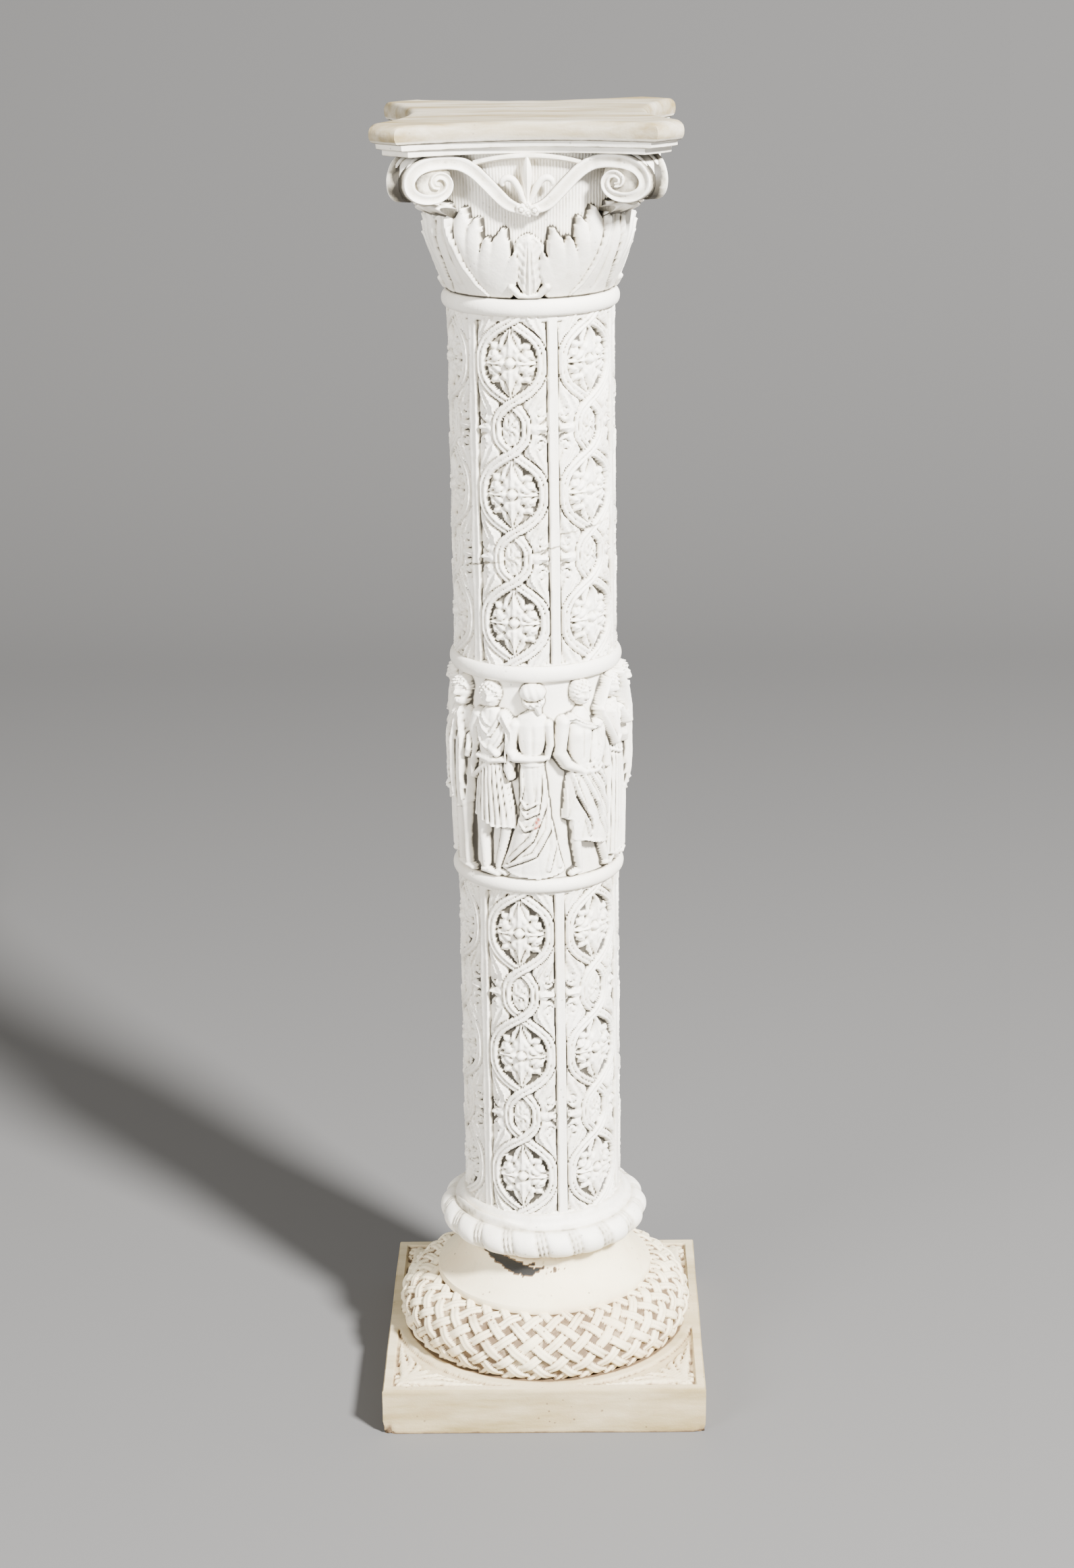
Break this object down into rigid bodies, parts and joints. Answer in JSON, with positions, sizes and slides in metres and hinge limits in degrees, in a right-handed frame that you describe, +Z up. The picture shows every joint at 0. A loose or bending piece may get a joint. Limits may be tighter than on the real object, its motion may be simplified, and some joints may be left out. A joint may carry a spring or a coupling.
{
  "type": "stone column pedestal",
  "caption": "Free-standing carved column pedestal with a square plinth, a lattice shaft with a band of figures, a leaf capital and a flat top.",
  "frame": {"origin": "centre of the plinth's underside, on the ground", "axes": "+Z up along the column, -Y towards the front of the picture"},
  "size_m": [0.24, 0.24, 0.96],
  "materials": {
    "cream_stone": "matt cast stone with pores and worn edges",
    "white_stone": "matt white cast stone with dirt in its recesses"
  },
  "bodies": {
    "root": {"base": "cream_stone", "shaft": "white_stone", "capital": "white_stone"}
  },
  "joints": []
}
